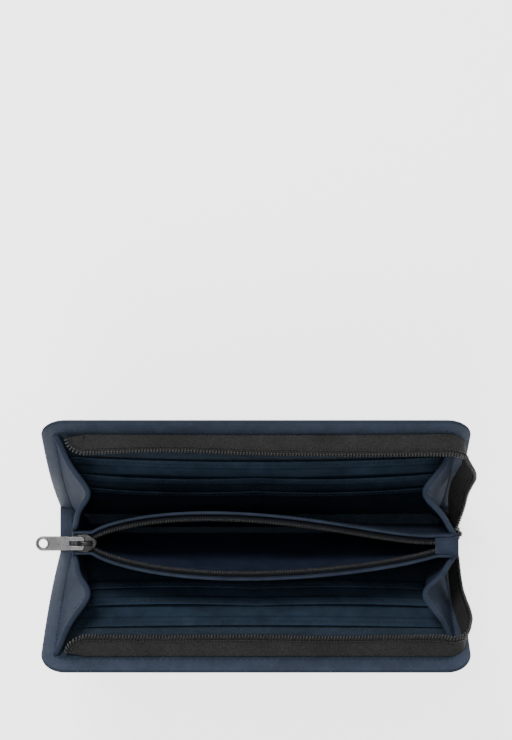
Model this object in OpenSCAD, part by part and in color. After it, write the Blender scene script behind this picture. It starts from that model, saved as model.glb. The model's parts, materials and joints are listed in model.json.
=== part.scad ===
/* [Holder] */
// Length of the holder along its spine
holder_w = 210; // [206:1:216]
// Height of each cover, from its fold to its top edge
cover_h = 104; // [102:1:108]
// Thickness across the closed holder
closed_t = 28; // [27:1:30]
// Lean of each open cover away from upright, in degrees
open_angle = 27.5; // [24:0.5:29]
// Radius of the covers' top corners
corner_r = 12; // [10:1:13]
// Width of the leather turned in round the covers' inner edges
margin = 7; // [6:1:8]

/* [Leather and fabric] */
// Thickness of the outer leather
leather_t = 1.1; // [0.9:0.1:1.2]
// Thickness of the stiffening boards
board_t = 0.9; // [0.7:0.1:1]
// Thickness of the lining and of the card slots' fabric
lining_t = 0.6; // [0.5:0.1:0.6]
// Thickness of the soft gussets
gusset_t = 0.8; // [0.6:0.1:0.9]

/* [Card slots] */
// Gap that each slot leaves for its cards
slot_gap = 1; // [0.9:0.05:1.05]
// Half the width of the card panels
panel_half = 93; // [92:0.5:93.5]
// Height of the top edge of the upper slots above the fold
upper_slot_z = 62; // [60:1:64]
// Height of the top edge of the lower slots above the fold
lower_slot_z = 50; // [48:1:52]

/* [Coin pocket] */
// Height of the coin pocket's zip above the floor
coin_z = 76; // [74:1:78]
// Half the gap between the open zip's halves at the middle
coin_gape = 12; // [6:1:12]
// Half the length of the stretch over which the open zip parts
coin_part = 86; // [84:1:86]

/* [Zips] */
// Width and thickness of a zip's coil
coil_w = 2; // [1.8:0.1:2]
// Thickness of the zip tape
tape_t = 0.6; // [0.4:0.1:0.7]
// Length of a slider
slider_l = 11; // [10:0.5:11]
// Width of a slider
slider_w = 8.6; // [8.6:0.1:8.8]
// Length of a puller from its pivot to the centre of its eye
puller_l = 19; // [18:0.5:19]
// Radius of the hole in a puller's end
eye_r = 2.4; // [2:0.1:2.5]

/* [Hidden] */
$fn = 48;

BACK = 1;
FRONT = -1;
half_w = holder_w / 2;
cover_t = leather_t + board_t + lining_t;

// The fold: each cover turns about the middle of a roll of leather along the spine's edge.
fold_r = 1.5;
fold_y = closed_t / 2 - fold_r;
fold_z = fold_r;
fold_clear = 0.3;
cover_foot = fold_r + fold_clear;
join = 0.01;

// Layers of a cover, as distances outward from the fold's axis.
outer_y = fold_r;
board_y = outer_y - leather_t;
lining_y = board_y - board_t;
inner_y = outer_y - cover_t;
backing_y = inner_y - lining_t;
upper_panel_y = backing_y - slot_gap;
lower_panel_y = upper_panel_y - lining_t - slot_gap;

// Card slots
panel_foot = 3;
backing_foot = 3;
backing_top = 76;
upper_seam_h = 14;
lower_seam_h = 2;
side_seam_w = 3;
centre_seam_w = 5;

// Main zip: its tape stands on the cover's inner face along the top and down the right side.
coil_gap = 0.6;
coil_t = 2.2;
zip_side_inset = 1.6;
zip_top_inset = 1;
zip_tuck_inset = 10.5;
zip_x = half_w - zip_side_inset;
zip_z = cover_h - margin - zip_top_inset;
zip_corner_r = 9;
zip_left_x = -half_w + zip_tuck_inset;
zip_foot = 31;
coil_reach = coil_gap - fold_y;
coil_root = coil_reach + coil_w;

// Where the main zip ends by the spine
tail_w = 9;
tail_top = 31.5;
stop_h = 2;
spine_t = cover_t;
spine_clear = 0.2;
spine_half = fold_y - fold_r - spine_clear;
main_slider_z = 28;

// Coin pocket
base_half_t = 2.8;
base_top = 6;
wall_t = 1.2;
wall_rise = 0.6;
wall_top = coin_z + wall_rise;
wall_left = -90.1;
wall_right = 98.4;
coin_tape_w = 1.95;
coin_hem_w = 2.2;
coin_hem = coil_gap + coil_w + coin_hem_w;
coin_mid = 4.5;
coin_slider_x = -85;
coin_left = -89.6;
coin_right = 98.2;
left_tab_x = -91;
right_tab_x = 99.3;
flap_x = 89.5;
flap_t = 1.1;
flap_inset = 0.3;
flap_z = coin_z + 1.3;
tab_t = 1.5;
tab_half_w = 6.3;
left_tab_drop = 3.2;
coin_stop_l = 1.9;
coin_stop_half_w = 3.1;
coin_stop_half_h = 1.3;
leaf_t = 0.5;
leaf_y = 1.3;
leaf_clear = 0.3;
leaf_z = base_top + leaf_clear;
leaf_lean = 4.2;
leaf_half_w = 78;
leaf_h = 60;

// Gussets: where each is sewn to the cover, where its fold lies and where it meets the end tab
seam_x = 98.5;
seam_clear = 0.3;
inner_clear = 0.2;
seam_foot = 7;
seam_foot_in = 7.5;
seam_top = 90;
fold_foot = [95.5, 8];
fold_top = [83.5, 25];
fold_top_rise = 3;
gusset_end_y = 7.6;
gusset_end_inset = 0.9;
gusset_end_rise = 0.5;
gusset_end_drop = 5;

// Slider and puller
plate_t = 0.9;
plate_bevel = 1.6;
wedge_l = 2.6;
wedge_inset = 0.4;
channel_half = 1.5;
tape_slot_half = 0.7;
slider_half_t = channel_half + plate_t;
flange_w = 0.75;
wedge_half = 0.35;
crown_half_w = 1.1;
crown_half_l = 3.5;
crown_t = 0.9;
crown_gap = 1.6;
post_l = 1.2;
pivot_x = -1.5;
pivot_z = slider_half_t + crown_gap / 2;
pin_r = 0.6;
puller_half_w = 3.3;
arm_w = 1.5;
arm_l = 5.6;
eye_rim = 1;

leather_colour = [0.10, 0.13, 0.21];
gusset_colour = [0.16, 0.19, 0.28];
lining_colour = [0.06, 0.08, 0.13];
board_colour = [0.45, 0.40, 0.33];
tape_colour = [0.10, 0.09, 0.08];
coil_colour = [0.13, 0.12, 0.12];
metal_colour = [0.45, 0.46, 0.47];

// ---------- shared shapes ----------

// Puts children, drawn for an upright back cover about its fold, on the front or the back cover.
module on_cover(side) {
    mirror([0, side < 0 ? 1 : 0, 0])
        translate([0, fold_y, fold_z]) rotate([-open_angle, 0, 0]) children();
}

// A flat layer of thickness t whose outer face lies at distance y from the fold.
module layer(y, t) {
    translate([0, y, 0]) rotate([90, 0, 0]) linear_extrude(t) children();
}

// A cover's outline, inset by d at its sides and top.
module outline(d, foot) {
    r = corner_r - d;
    translate([-half_w + d, foot]) square([holder_w - 2 * d, cover_h - corner_r - foot]);
    translate([-half_w + corner_r, foot]) square([holder_w - 2 * corner_r, cover_h - d - foot]);
    for (s = [-1, 1])
        translate([s * (half_w - corner_r), cover_h - corner_r]) circle(r);
}

module rect(x0, x1, z0, z1) {
    translate([x0, z0]) square([x1 - x0, z1 - z0]);
}

module block(low, high) {
    translate(low) cube(high - low);
}

// A closed sheet between two grids of points with the same rows and columns.
module sheet(face, back) {
    rows = len(face);
    cols = len(face[0]);
    n = rows * cols;
    points = [for (g = [face, back]) for (row = g) for (p = row) p];
    function at(i, j) = i * cols + j;
    polyhedron(points = points, faces = concat(
        [for (i = [0:rows - 2], j = [0:cols - 2]) each [
            [at(i, j), at(i + 1, j), at(i + 1, j + 1)], [at(i, j), at(i + 1, j + 1), at(i, j + 1)],
            [n + at(i, j), n + at(i + 1, j + 1), n + at(i + 1, j)],
            [n + at(i, j), n + at(i, j + 1), n + at(i + 1, j + 1)]]],
        [for (j = [0:cols - 2]) each [
            [at(0, j), at(0, j + 1), n + at(0, j + 1)], [at(0, j), n + at(0, j + 1), n + at(0, j)],
            [at(rows - 1, j), n + at(rows - 1, j + 1), at(rows - 1, j + 1)],
            [at(rows - 1, j), n + at(rows - 1, j), n + at(rows - 1, j + 1)]]],
        [for (i = [0:rows - 2]) each [
            [at(i, 0), n + at(i, 0), n + at(i + 1, 0)], [at(i, 0), n + at(i + 1, 0), at(i + 1, 0)],
            [at(i, cols - 1), n + at(i + 1, cols - 1), n + at(i, cols - 1)],
            [at(i, cols - 1), at(i + 1, cols - 1), n + at(i + 1, cols - 1)]]]));
}

// ---------- spine ----------

module spine_leather() color(leather_colour) {
    block([-half_w, -fold_y, 0], [half_w, fold_y, leather_t]);
    for (side = [FRONT, BACK])
        translate([-half_w, side * fold_y, fold_z]) rotate([0, 90, 0]) cylinder(r = fold_r, h = holder_w);
}

module spine_layer(z0, z1)
    block([-half_w + leather_t, -spine_half, z0], [half_w - leather_t, spine_half, z1]);

module spine_board() color(board_colour) spine_layer(leather_t, leather_t + board_t);

module spine_lining() color(lining_colour) spine_layer(leather_t + board_t, spine_t);

// ---------- covers ----------

module cover_leather(side) color(leather_colour) on_cover(side) {
    layer(outer_y, leather_t) outline(0, cover_foot);
    layer(board_y, board_t) difference() {
        outline(0, cover_foot);
        outline(leather_t, 0);
    }
    layer(lining_y, lining_t) difference() {
        outline(0, cover_foot);
        outline(margin, 0);
    }
}

module cover_board(side) color(board_colour) on_cover(side)
    layer(board_y, board_t) outline(leather_t, cover_foot);

module cover_lining(side) color(lining_colour) on_cover(side)
    layer(lining_y, lining_t) outline(margin, cover_foot);

module card_backing(side) color(lining_colour) on_cover(side)
    layer(inner_y, lining_t) rect(-panel_half, panel_half, backing_foot, backing_top);

module slot_panel(side, y, top) color(lining_colour) on_cover(side)
    layer(y, lining_t) rect(-panel_half, panel_half, panel_foot, top);

// The stitched strips that close a row of two slots at its ends, middle and foot.
module slot_seams(side, y, top, foot_h) color(lining_colour) on_cover(side) {
    foot_top = panel_foot + foot_h;
    layer(y, slot_gap) rect(-panel_half, panel_half, panel_foot, foot_top);
    for (x0 = [-panel_half, -centre_seam_w / 2, panel_half - side_seam_w]) {
        w = x0 == -centre_seam_w / 2 ? centre_seam_w : side_seam_w;
        layer(y, slot_gap) rect(x0, x0 + w, foot_top + join, top);
    }
}

// A band of thickness t that follows the main zip along the top, round the corner and down the side.
module zip_band(t, x_start) {
    rect(x_start, zip_x - zip_corner_r, zip_z - t / 2, zip_z + t / 2);
    rect(zip_x - t / 2, zip_x + t / 2, zip_foot, zip_z - zip_corner_r);
    translate([zip_x - zip_corner_r, zip_z - zip_corner_r]) intersection() {
        difference() {
            circle(zip_corner_r + t / 2);
            circle(zip_corner_r - t / 2);
        }
        square(2 * zip_corner_r);
    }
}

// The zip's left end turns down to the cover and is sewn in: a quarter ring between two radii.
module zip_tuck(r_in, r_out, t) {
    centre_x = zip_left_x - coil_reach + inner_y;
    translate([centre_x, inner_y, zip_z - t / 2]) linear_extrude(t) intersection() {
        difference() {
            circle(r_out);
            if (r_in > 0) circle(r_in);
        }
        translate([-r_out, -r_out]) square(r_out);
    }
}

module zip_tape(side) color(tape_colour) on_cover(side) {
    start = zip_left_x - coil_reach + inner_y;
    layer(inner_y, inner_y - coil_root) zip_band(tape_t, start);
    zip_tuck(0, inner_y - coil_root, tape_t);
}

module zip_coil(side) color(coil_colour) on_cover(side) {
    start = zip_left_x - coil_reach + inner_y;
    layer(coil_root, coil_w) zip_band(coil_t, start);
    zip_tuck(inner_y - coil_root, inner_y - coil_reach, coil_t);
}

// ---------- main zip's end by the spine ----------

// An upright strip of thickness t on each side of the tail, between distances y0 and y1 from its middle.
module tail_strips(t, y0, y1)
    for (side = [FRONT, BACK]) mirror([0, side < 0 ? 1 : 0, 0])
        block([zip_x - t / 2, y0, spine_t + stop_h], [zip_x + t / 2, y1, tail_top]);

module main_tail_tapes() color(tape_colour) tail_strips(tape_t, coil_gap + coil_w, tail_w);

module main_tail_coils() color(coil_colour) tail_strips(coil_t, coil_gap, coil_gap + coil_w);

module main_bottom_stop() color(metal_colour)
    block([zip_x - channel_half, -tail_w, spine_t], [zip_x + channel_half, tail_w, spine_t + stop_h]);

// ---------- coin pocket ----------

zip_steps = 40;
wall_rows = 6;
wall_foot_y = base_half_t - wall_t;

// Share of the full gape at x along the zip.
function gape(x) = abs(x - coin_mid) < coin_part ? 1 - pow((x - coin_mid) / coin_part, 2) : 0;
function coil_edge(x) = coil_gap + (coin_gape - coil_gap) * gape(x);
function along(x0, x1) = [for (i = [0:zip_steps]) x0 + (x1 - x0) * i / zip_steps];

module coin_pocket_base() color(lining_colour)
    block([wall_left, -base_half_t, spine_t], [wall_right, base_half_t, base_top]);

// One leather wall: straight where it is sewn in at the foot, bowed out at the zip.
function wall_y(x, rise) = wall_foot_y + (coil_edge(x) + coin_hem - coil_gap - wall_foot_y) * rise;
function wall_face(extra) = [for (j = [0:wall_rows]) [for (x = along(wall_left, wall_right))
    [x, wall_y(x, j / wall_rows) + extra, base_top + (wall_top - base_top) * j / wall_rows]]];

module coin_wall(side) color(gusset_colour)
    mirror([0, side < 0 ? 1 : 0, 0]) sheet(wall_face(0), wall_face(wall_t));

// A flat band of width w beside the coil's edge, from y offset y0.
module coin_band(side, y0, w, t) {
    xs = along(coin_left, coin_right);
    near = [for (x = xs) [x, coil_edge(x) + y0]];
    far = [for (i = [zip_steps:-1:0]) [xs[i], coil_edge(xs[i]) + y0 + w]];
    mirror([0, side < 0 ? 1 : 0, 0])
        translate([0, 0, coin_z - t / 2]) linear_extrude(t) polygon(concat(near, far));
}

module coin_tape(side) color(tape_colour) coin_band(side, coil_w, coin_tape_w, tape_t);

module coin_coil(side) color(coil_colour) coin_band(side, 0, coil_w, coil_w);

// One loose lining leaf inside the pocket, hinged at the base and leaning out behind its wall.
module coin_lining(side) color(lining_colour)
    mirror([0, side < 0 ? 1 : 0, 0]) translate([coin_mid, leaf_y, leaf_z]) rotate([-leaf_lean, 0, 0])
        block([-leaf_half_w, -leaf_t, 0], [leaf_half_w, 0, leaf_h]);

module coin_bottom_stop() color(metal_colour)
    block([coin_left - coin_stop_l, -coin_stop_half_w, coin_z - coin_stop_half_h],
        [coin_left, coin_stop_half_w, coin_z + coin_stop_half_h]);

// An upright tab across one end of the pocket, up to height top.
module end_tab(x, top) block([x - tab_t / 2, -tab_half_w, spine_t], [x + tab_t / 2, tab_half_w, top]);

module left_end_tab() color(gusset_colour) end_tab(left_tab_x, coin_z - left_tab_drop);

module right_end_tab() color(gusset_colour) {
    flap_half_w = tab_half_w - flap_inset;
    end_tab(right_tab_x, flap_z + flap_t);
    block([flap_x, -flap_half_w, flap_z], [right_tab_x, flap_half_w, flap_z + flap_t]);
}

// ---------- gussets ----------

function cover_point(x, y, v) = [x, fold_y + v * sin(open_angle) + y * cos(open_angle),
    fold_z + v * cos(open_angle) - y * sin(open_angle)];

// A folded side panel: from the cover's seam, in to the fold, and back out to the coin pocket's end.
module gusset(end, side) color(gusset_colour) {
    tab_x = end > 0 ? right_tab_x : -left_tab_x;
    t = gusset_t;
    seam_y = inner_y - seam_clear;
    seam_in_y = seam_y - inner_clear;
    in_y = gusset_end_y - gusset_end_inset;
    foot_z = base_top + gusset_end_rise;
    top_z = coin_z - gusset_end_drop;
    fold_z1 = coin_z + fold_top_rise;
    outside = [
        [cover_point(seam_x, seam_y, seam_foot), [fold_foot[0], fold_foot[1], base_top],
            [tab_x, gusset_end_y, foot_z]],
        [cover_point(seam_x, seam_y, seam_top), [fold_top[0] + t, fold_top[1], fold_z1],
            [tab_x, gusset_end_y, top_z]]];
    inside = [
        [cover_point(seam_x - t, seam_in_y, seam_foot_in), [fold_foot[0] - t, fold_foot[1], base_top],
            [tab_x, in_y, foot_z]],
        [cover_point(seam_x - t, seam_in_y, seam_top), [fold_top[0], fold_top[1], fold_z1],
            [tab_x - t, in_y, top_z]]];
    mirror([end < 0 ? 1 : 0, 0, 0]) mirror([0, side < 0 ? 1 : 0, 0]) sheet(inside, outside);
}

// ---------- sliders and pullers, drawn along +X with the crown on top ----------

module slider() {
    w = slider_w / 2;
    l = slider_l / 2;
    bevel = plate_bevel;
    plate = [[-l, -w + bevel], [-l + bevel, -w], [l - bevel, -w], [l, -w + bevel],
        [l, w - bevel], [l - bevel, w], [-l + bevel, w], [-l, w - bevel]];
    for (z = [channel_half, -slider_half_t])
        translate([0, 0, z]) linear_extrude(plate_t) polygon(plate);
    for (s = [-1, 1], z = [tape_slot_half, -channel_half]) {
        y0 = s > 0 ? w - flange_w : -w;
        block([-l + bevel, y0, z], [l - bevel, y0 + flange_w, z + channel_half - tape_slot_half]);
    }
    wedge_x = l - wedge_inset;
    block([wedge_x - wedge_l, -wedge_half, -channel_half], [wedge_x, wedge_half, channel_half]);
    crown_z = slider_half_t + crown_gap;
    block([-crown_half_l, -crown_half_w, crown_z], [crown_half_l, crown_half_w, crown_z + crown_t]);
    for (x = [-crown_half_l, crown_half_l - post_l])
        block([x, -crown_half_w, slider_half_t], [x + post_l, crown_half_w, crown_z]);
}

module puller() {
    translate([pivot_x, 0, pivot_z]) {
        rotate([90, 0, 0]) cylinder(r = pin_r, h = 2 * puller_half_w, center = true);
        for (s = [-1, 1]) {
            y0 = s > 0 ? puller_half_w - arm_w : -puller_half_w;
            block([-arm_l, y0, -pin_r], [0, y0 + arm_w, pin_r]);
        }
        translate([0, 0, -pin_r]) linear_extrude(2 * pin_r) difference() {
            union() {
                rect(-puller_l, -arm_l, -puller_half_w, puller_half_w);
                translate([-puller_l, 0]) circle(eye_r + eye_rim);
            }
            translate([-puller_l, 0]) circle(eye_r);
        }
    }
}

module on_coin_zip() translate([coin_slider_x, 0, coin_z]) children();

module on_main_zip() translate([zip_x, 0, main_slider_z]) rotate([0, 90, 0]) rotate([0, 0, 180]) children();

// ---------- nodes ----------

spine_leather();
spine_board();
spine_lining();
coin_pocket_base();
coin_wall(FRONT);  // coin_wall_front
coin_wall(BACK);  // coin_wall_back
coin_tape(FRONT);  // coin_tape_front
coin_tape(BACK);  // coin_tape_back
coin_coil(FRONT);  // coin_coil_front
coin_coil(BACK);  // coin_coil_back
coin_lining(FRONT);  // coin_lining_front
coin_lining(BACK);  // coin_lining_back
coin_bottom_stop();
left_end_tab();
right_end_tab();
gusset(-1, FRONT);  // gusset_left_front
gusset(-1, BACK);  // gusset_left_back
gusset(1, FRONT);  // gusset_right_front
gusset(1, BACK);  // gusset_right_back
main_tail_tapes();
main_tail_coils();
main_bottom_stop();
cover_leather(FRONT);  // front_cover_leather
cover_board(FRONT);  // front_cover_board
cover_lining(FRONT);  // front_cover_lining
card_backing(FRONT);  // front_card_backing
slot_panel(FRONT, upper_panel_y, upper_slot_z);  // front_upper_slot_panel
slot_seams(FRONT, backing_y, upper_slot_z, upper_seam_h);  // front_upper_slot_seams
slot_panel(FRONT, lower_panel_y, lower_slot_z);  // front_lower_slot_panel
slot_seams(FRONT, upper_panel_y - lining_t, lower_slot_z, lower_seam_h);  // front_lower_slot_seams
zip_tape(FRONT);  // front_zip_tape
zip_coil(FRONT);  // front_zip_coil
cover_leather(BACK);  // back_cover_leather
cover_board(BACK);  // back_cover_board
cover_lining(BACK);  // back_cover_lining
card_backing(BACK);  // back_card_backing
slot_panel(BACK, upper_panel_y, upper_slot_z);  // back_upper_slot_panel
slot_seams(BACK, backing_y, upper_slot_z, upper_seam_h);  // back_upper_slot_seams
slot_panel(BACK, lower_panel_y, lower_slot_z);  // back_lower_slot_panel
slot_seams(BACK, upper_panel_y - lining_t, lower_slot_z, lower_seam_h);  // back_lower_slot_seams
zip_tape(BACK);  // back_zip_tape
zip_coil(BACK);  // back_zip_coil
color(metal_colour) on_coin_zip() slider();  // coin_slider
color(metal_colour) on_coin_zip() puller();  // coin_puller
color(metal_colour) on_main_zip() slider();  // main_slider
color(metal_colour) on_main_zip() puller();  // main_puller
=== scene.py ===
"""Looks for an open zip-around passport holder: shell, gussets, card pockets, coin pocket and zips."""
import json
import math

import bpy
import numpy as np
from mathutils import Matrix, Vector


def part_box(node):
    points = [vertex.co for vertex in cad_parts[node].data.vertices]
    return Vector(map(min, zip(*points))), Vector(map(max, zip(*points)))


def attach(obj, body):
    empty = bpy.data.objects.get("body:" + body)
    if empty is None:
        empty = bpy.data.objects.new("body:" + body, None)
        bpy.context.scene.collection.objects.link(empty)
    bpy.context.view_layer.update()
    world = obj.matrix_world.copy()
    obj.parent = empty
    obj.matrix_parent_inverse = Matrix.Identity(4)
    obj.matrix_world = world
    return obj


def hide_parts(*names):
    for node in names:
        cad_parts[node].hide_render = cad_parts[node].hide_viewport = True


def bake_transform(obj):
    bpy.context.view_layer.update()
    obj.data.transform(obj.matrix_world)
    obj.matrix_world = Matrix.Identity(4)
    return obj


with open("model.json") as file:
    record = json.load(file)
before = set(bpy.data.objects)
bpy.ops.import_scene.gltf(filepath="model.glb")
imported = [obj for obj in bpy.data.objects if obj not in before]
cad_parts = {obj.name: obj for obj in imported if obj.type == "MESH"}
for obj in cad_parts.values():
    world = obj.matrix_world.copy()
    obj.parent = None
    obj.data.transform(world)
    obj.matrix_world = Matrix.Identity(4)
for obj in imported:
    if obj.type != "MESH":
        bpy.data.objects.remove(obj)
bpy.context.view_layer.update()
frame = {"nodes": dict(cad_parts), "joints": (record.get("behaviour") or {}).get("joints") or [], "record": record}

# ---------- sizes, in millimetres, taken from the frame where it has them ----------

MM = 0.001
JOINTS = {j["name"]: j for j in frame["joints"]}


def low(node):
    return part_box(node)[0] / MM


def high(node):
    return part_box(node)[1] / MM


FOLD_Y = JOINTS["back_fold"]["pos_m"][1] / MM
FOLD_Z = JOINTS["back_fold"]["pos_m"][2] / MM
LEAN = math.radians(JOINTS["back_fold"]["range_deg"][1])
LEAF_Z = JOINTS["coin_back_fold"]["pos_m"][2] / MM
LEAF_SHARE = 0.15
LEAF_TURN = LEAN * LEAF_SHARE
HALF_W = high("back_cover_leather").x
COVER_H = 104.0
COVER_T = 2.6
CORNER_R = 12.0
MARGIN = 7.0
OUTER_Y = 1.5
INNER_Y = OUTER_Y - COVER_T
LEATHER_T = 1.1
PANEL_HALF = 93.0
PANEL_FOOT = 3.0
POCKET_TOP = 76.0
UPPER_TOP = 62.0
LOWER_TOP = 50.0
BASE_TOP = high("coin_pocket_base").z
SPINE_T = low("coin_pocket_base").z

ZIP_V = COVER_H - MARGIN - 1
ZIP_X = (low("main_tail_tapes").x + high("main_tail_tapes").x) / 2
ZIP_CORNER_R = 9.0
ZIP_TURN_X = -83.7
TAPE_REACH = 8.8
ROOT_LIFT = 0.4
COIL_W = 2.0
COIL_PITCH = 1.5
MAIN_SLIDER_Z = (low("main_slider").z + high("main_slider").z) / 2

COIN_Z = (low("coin_coil_back").z + high("coin_coil_back").z) / 2
COIN_L = low("coin_coil_back").x
COIN_R = high("coin_coil_back").x
COIN_MID = (low("coin_lining_back").x + high("coin_lining_back").x) / 2
COIN_PART = 86.0
COIN_GAP = 0.6
COIN_TAPE_W = 3.95
COIN_EDGE = high("coin_tape_back").y - COIN_TAPE_W
COIN_HEM = 4.2
COIN_PITCH = 1.3
COIN_SLIDER_X = (low("coin_slider").x + high("coin_slider").x) / 2
WALL_L = low("coin_wall_back").x
WALL_R = high("coin_wall_back").x
LEFT_TAB = (low("left_end_tab").x + high("left_end_tab").x) / 2
TAB_T = 1.5
RIGHT_TAB = high("right_end_tab").x - TAB_T / 2
FLAP_X = low("right_end_tab").x
TAB_Y = high("right_end_tab").y

PIVOT_X = -1.5
PIVOT_Z = 3.2
PULLER_T = 1.2
EYE_OUTER_R = 3.4
EYE_R = 2.4
PULLER_L = COIN_SLIDER_X + PIVOT_X - (low("coin_puller").x + EYE_OUTER_R)

STITCH_PITCH = 3.0
STITCH_L = 2.2
STITCH_R = 0.24
FINE_STITCH = {"pitch": 2.6, "length": 1.9, "r": 0.2}
RIM_BULGE = 0.9
PANEL_T = 0.75
PANEL_HEM_H = 6.2
PANEL_HEM_T = 0.3
WALL_T = 1.5
GUSSET_T = 0.9
GUSSET_HEM_T = 0.95

SIDES = {"front": -1, "back": 1}
BOW_AT_ENDS = 4.6
BOW_MORE_IN_MIDDLE = {-1: 0.9, 1: 3.2}

CAMERA_AT = (0, 0.086, 0.936)
LENS = 84.06
SENSOR = 36
FLOOR_HALF = 9000
FLOOR_Z = -0.2


# ---------- mesh building ----------

class Build:
    """Collects surfaces, tubes and stitches, in millimetres, with a blend weight for each vertex."""

    def __init__(self):
        self.verts, self.faces, self.slots, self.weights = [], [], [], []
        self.count = 0

    def add(self, points, faces, slot=0, weights=0.0):
        points = np.asarray(points, float).reshape(-1, 3)
        self.verts.append(points)
        self.weights.append(np.broadcast_to(np.asarray(weights, float).ravel(), (len(points),)))
        self.faces += [tuple(i + self.count for i in f) for f in faces]
        self.slots += [slot] * len(faces)
        self.count += len(points)

    def grid(self, points, slot=0, weights=0.0, flip=False, closed=False):
        """A surface through a rows x columns grid of points."""
        rows, cols = points.shape[:2]
        faces = []
        for i in range(rows - 1):
            for j in range(cols if closed else cols - 1):
                k = (j + 1) % cols
                f = (i * cols + j, i * cols + k, (i + 1) * cols + k, (i + 1) * cols + j)
                faces.append(f[::-1] if flip else f)
        self.add(points, faces, slot, np.broadcast_to(weights, (rows, cols)))

    def slab(self, points, thickness, slot=0, weights=0.0):
        """A sheet of that thickness behind a grid of points, with rounded edges all round."""
        rows, cols = points.shape[:2]
        normal = grid_normals(points)
        weights = np.array(np.broadcast_to(weights, (rows, cols)))
        depth = np.broadcast_to(thickness, (rows, cols))
        back = points - normal * depth[..., None]
        loop = ([(0, j) for j in range(cols)] + [(i, cols - 1) for i in range(1, rows)]
                + [(rows - 1, j) for j in range(cols - 2, -1, -1)] + [(i, 0) for i in range(rows - 2, 0, -1)])
        ring = []
        for i, j in loop:
            out = np.zeros(3)
            if i in (0, rows - 1):
                out += unit(points[i, j] - points[1 if i == 0 else rows - 2, j])
            if j in (0, cols - 1):
                out += unit(points[i, j] - points[i, 1 if j == 0 else cols - 2])
            ring.append(unit(out))
        ring = np.array(ring)
        at = tuple(np.array(loop).T)
        lines = []
        for turn in np.linspace(0, math.pi, 5):
            inward = normal[at] * (depth[at] * (1 - math.cos(turn)) / 2)[:, None]
            lines.append(points[at] - inward + ring * (depth[at] * 0.5 * math.sin(turn))[:, None])
        self.grid(points, slot, weights)
        self.grid(back, slot, weights, flip=True)
        self.grid(np.array(lines), slot, np.tile(weights[at], (5, 1)), flip=True, closed=True)

    def tube(self, path, radius, slot=0, weights=0.0, sides=6, loop=False):
        """A round tube along a path. radius is one number or one for each point."""
        path = np.asarray(path, float)
        along = unit_rows(np.gradient(path, axis=0))
        if loop:
            along = unit_rows(np.roll(path, -1, 0) - np.roll(path, 1, 0))
        side = np.cross(along, [0.31, 0.52, 0.79])
        side = unit_rows(side)
        for i in range(1, len(path)):
            side[i] = unit(side[i - 1] - along[i] * (side[i - 1] @ along[i]))
        up = np.cross(along, side)
        r = np.broadcast_to(np.asarray(radius, float), (len(path),))[:, None, None]
        turn = np.linspace(0, 2 * math.pi, sides, endpoint=False)[None, :, None]
        points = path[:, None] + r * (np.cos(turn) * side[:, None] + np.sin(turn) * up[:, None])
        w = np.broadcast_to(np.asarray(weights, float), (len(path),))[:, None]
        if loop:
            points = np.concatenate([points, points[:1]])
            w = np.concatenate([w, w[:1]])
        start = self.count
        self.grid(points, slot, np.broadcast_to(w, points.shape[:2]), closed=True)
        if not loop:
            last = start + (len(path) - 1) * sides
            self.faces += [tuple(range(start, start + sides))[::-1], tuple(range(last, last + sides))]
            self.slots += [slot, slot]

    def stitches(self, path, normal, slot=1, weights=0.0, pitch=STITCH_PITCH, length=STITCH_L, r=STITCH_R):
        """A row of stitches along a path. Each one is a short spindle that dips in at both ends."""
        path, normal = np.asarray(path, float), np.asarray(normal, float)
        normal = np.broadcast_to(normal, path.shape)
        w = np.broadcast_to(np.asarray(weights, float), (len(path),))
        gaps = np.linalg.norm(np.diff(path, axis=0), axis=1)
        s = np.concatenate([[0], np.cumsum(gaps)])
        number = max(1, int(s[-1] / pitch))
        step = s[-1] / number
        share = np.array([-0.5, -0.36, -0.12, 0.12, 0.36, 0.5])
        lift = np.array([-0.9, 0.15, 0.75, 0.75, 0.15, -0.9]) * r
        width = np.array([0.35, 0.9, 1.0, 1.0, 0.9, 0.35]) * r
        for i in range(number):
            where = (i + 0.5) * step + share * length
            points = np.stack([np.interp(where, s, path[:, k]) for k in range(3)], 1)
            n = unit(np.array([np.interp(where[2], s, normal[:, k]) for k in range(3)]))
            middle = float(np.interp(where[2], s, w))
            self.tube(points + lift[:, None] * n, width, slot, middle, sides=5)

    def finish(self, name, materials):
        mesh = bpy.data.meshes.new(name)
        mesh.from_pydata((np.concatenate(self.verts) * MM).tolist(), [], self.faces)
        mesh.polygons.foreach_set("material_index", self.slots)
        mesh.polygons.foreach_set("use_smooth", [True] * len(mesh.polygons))
        mesh.update()
        piece = bpy.data.objects.new(name, mesh)
        bpy.context.scene.collection.objects.link(piece)
        for m in materials:
            mesh.materials.append(m)
        return piece


def unit(v):
    return v / max(np.linalg.norm(v), 1e-9)


def unit_rows(v):
    return v / np.maximum(np.linalg.norm(v, axis=-1, keepdims=True), 1e-9)


def grid_normals(points):
    return unit_rows(np.cross(np.gradient(points, axis=1), np.gradient(points, axis=0)))


def spline(keys, number):
    """number points, evenly spaced, on a smooth curve through the key rows. The first six columns are places
    and the others are carried along."""
    keys = np.asarray(keys, float)
    steps = 24
    padded = np.vstack([2 * keys[0] - keys[1], keys, 2 * keys[-1] - keys[-2]])
    points = []
    for i in range(len(keys) - 1):
        a, b, c, d = padded[i:i + 4]
        t = np.linspace(0, 1, steps, endpoint=False)[:, None]
        points.append(0.5 * (2 * b + (c - a) * t + (2 * a - 5 * b + 4 * c - d) * t ** 2
                             + (3 * b - a - 3 * c + d) * t ** 3))
    dense = np.vstack(points + [keys[-1:]])
    s = np.concatenate([[0], np.cumsum(np.linalg.norm(np.diff(dense[:, :6], axis=0), axis=1))])
    where = np.linspace(0, s[-1], number)
    return np.stack([np.interp(where, s, dense[:, k]) for k in range(dense.shape[1])], 1)


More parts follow.
